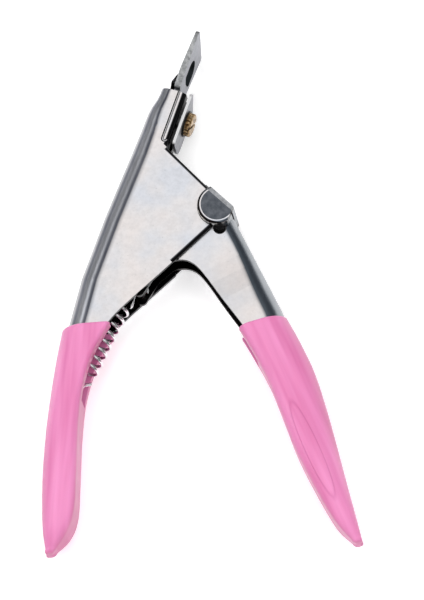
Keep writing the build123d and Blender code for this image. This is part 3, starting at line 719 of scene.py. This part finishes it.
def tube(name, points, radius, skin, sides=14):
    """Round tube along a path, with a closed end at each tip."""
    rings = []
    normal = up
    for i, point in enumerate(points):
        ahead = points[min(i + 1, len(points) - 1)]
        behind = points[max(i - 1, 0)]
        tangent = (ahead - behind).normalized()
        normal = (normal - tangent * normal.dot(tangent)).normalized()
        other = tangent.cross(normal)
        ring = []
        for k in range(sides):
            angle = 2 * math.pi * k / sides
            ring.append(point + (normal * math.cos(angle) + other * math.sin(angle)) * radius)
        rings.append(ring)
    obj = new_object(name, [p * MM for ring in rings for p in ring], bridge(rings), skin)
    face_outward(obj)
    smooth(obj, 50)
    return obj


COIL_STEPS = 26
run = (SPRING_TOP - SPRING_FOOT).length
coil = []
steps = int(COIL_COUNT * COIL_STEPS)
for i in range(steps + 1):
    angle = math.pi + 2 * math.pi * i / COIL_STEPS
    across = side * COIL_R * math.cos(angle) + up * COIL_R * math.sin(angle)
    coil.append(SPRING_FOOT + axis * run * i / steps + across)
foot_tail = [SPRING_FOOT + axis * -1.9 + side * 2.3, SPRING_FOOT + axis * -2.7 + side * 1.1]
foot_hook = hook(ANCHOR, ANCHOR_R + WIRE_R + HOOK_GAP, (0.1, -0.2, -0.5, -0.8, -1.0))
top_hook = hook(SPRING_PIN, SPRING_PIN_R + WIRE_R + HOOK_GAP, (1.15, 1.0, 0.75, 0.5, 0.25, 0.0))
foot_controls = foot_tail + foot_hook + coil[:2]
top_controls = coil[-2:] + top_hook


POINTS_PER_SPAN = 7
OVERLAP = POINTS_PER_SPAN + 1               # points of a hook's path that repeat the coil's end


def through(controls):
    """Smooth path through control points."""
    spans = len(controls) - 1
    count = spans * POINTS_PER_SPAN
    return [catmull(controls, spans * i / count) for i in range(count + 1)]


path = through(foot_controls)[:-OVERLAP] + coil + through(top_controls)[OVERLAP:]
spring = tube("return_spring_wire", path, WIRE_R, wire)
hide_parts("return_spring")
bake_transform(spring)


# ---------------------------------------------------------------- stage
def area_light(name, place, target, size, power):
    light = bpy.data.lights.new(name, "AREA")
    light.shape = "RECTANGLE"
    light.size, light.size_y = size
    light.energy = power
    obj = bpy.data.objects.new(name, light)
    bpy.context.scene.collection.objects.link(obj)
    obj.location = place
    obj.rotation_euler = (Vector(target) - Vector(place)).to_track_quat("-Z", "Y").to_euler()
    return obj


FLOOR_SIZE = 6
FLOOR_GLOW = 0.30
bpy.ops.mesh.primitive_plane_add(size=FLOOR_SIZE, location=(0, 0, cad_box[0].z))
floor = bpy.context.object
floor.name = "floor"
ground = Paint("floor_paper", Roughness=0.9)
ground.bsdf.inputs["Specular IOR Level"].default_value = 0.1
ground.bsdf.inputs["Emission Color"].default_value = (1, 1, 1, 1)
ground.bsdf.inputs["Emission Strength"].default_value = FLOOR_GLOW
ground.plug(ground.ramp(ground.noise(120.0), (0.3, 0.95), (0.7, 0.97)), ground.bsdf.inputs["Base Color"])
floor.data.materials.append(ground.mat)

key = area_light("key_soft", (-0.12, 0.12, 0.8), (0, -0.02, 0), (0.9, 0.9), 3.4)
fill = area_light("fill_soft", (0.45, -0.35, 0.6), (0, -0.02, 0), (0.6, 0.6), 1.6)
strip = area_light("strip_soft", (-0.42, 0.02, 0.34), (0, -0.04, 0), (0.5, 0.12), 0.5)
for lamp in (key, fill):
    lamp.visible_glossy = False
for lamp in (key, fill, strip):
    lamp.visible_camera = False

world = bpy.data.worlds.new("studio")
bpy.context.scene.world = world
world.use_nodes = True
tree = world.node_tree
background = tree.nodes["Background"]
direction = tree.nodes.new("ShaderNodeTexCoord")
parts = tree.nodes.new("ShaderNodeSeparateXYZ")
tree.links.new(direction.outputs["Generated"], parts.inputs["Vector"])
sky = tree.nodes.new("ShaderNodeValToRGB")
SKY_STOPS = ((0.0, 0.62), (0.10, 0.30), (0.50, 0.22), (0.80, 0.80), (0.93, 0.95))
SKY_BLUE = 1.01                             # the sky's blue against its grey
SKY_STRENGTH = 0.95
while len(sky.color_ramp.elements) < len(SKY_STOPS):
    sky.color_ramp.elements.new(0.5)
for element, (position, grey) in zip(sky.color_ramp.elements, SKY_STOPS):
    element.position = position
    element.color = (grey, grey, grey * SKY_BLUE, 1)
tree.links.new(parts.outputs["Z"], sky.inputs["Fac"])
tree.links.new(sky.outputs["Color"], background.inputs["Color"])
background.inputs["Strength"].default_value = SKY_STRENGTH

TURN = math.radians(5.8)                    # camera swung round the long axis
TILT = math.radians(-18.5)                  # camera tipped toward the handles
LENS = 1000.0
PER_LENS = 3.968                            # viewing distance in mm for each mm of lens
back = Vector((math.sin(TURN) * math.cos(TILT), math.sin(TILT), math.cos(TURN) * math.cos(TILT)))
right = Vector((math.cos(TURN), 0, -math.sin(TURN)))
above = back.cross(right)
look_at = Vector((-1.96, -21.8, MID)) * MM
camera_data = bpy.data.cameras.new("camera")
camera_data.lens = LENS
camera_data.sensor_width = 36
camera = bpy.data.objects.new("camera", camera_data)
bpy.context.scene.collection.objects.link(camera)
camera.matrix_world = Matrix.Translation(look_at + back * PER_LENS * LENS * MM) @ Matrix(
    (right, above, back)).transposed().to_4x4()
bpy.context.scene.camera = camera
bpy.context.scene.view_settings.view_transform = "Standard"
bpy.context.scene.view_settings.look = "None"
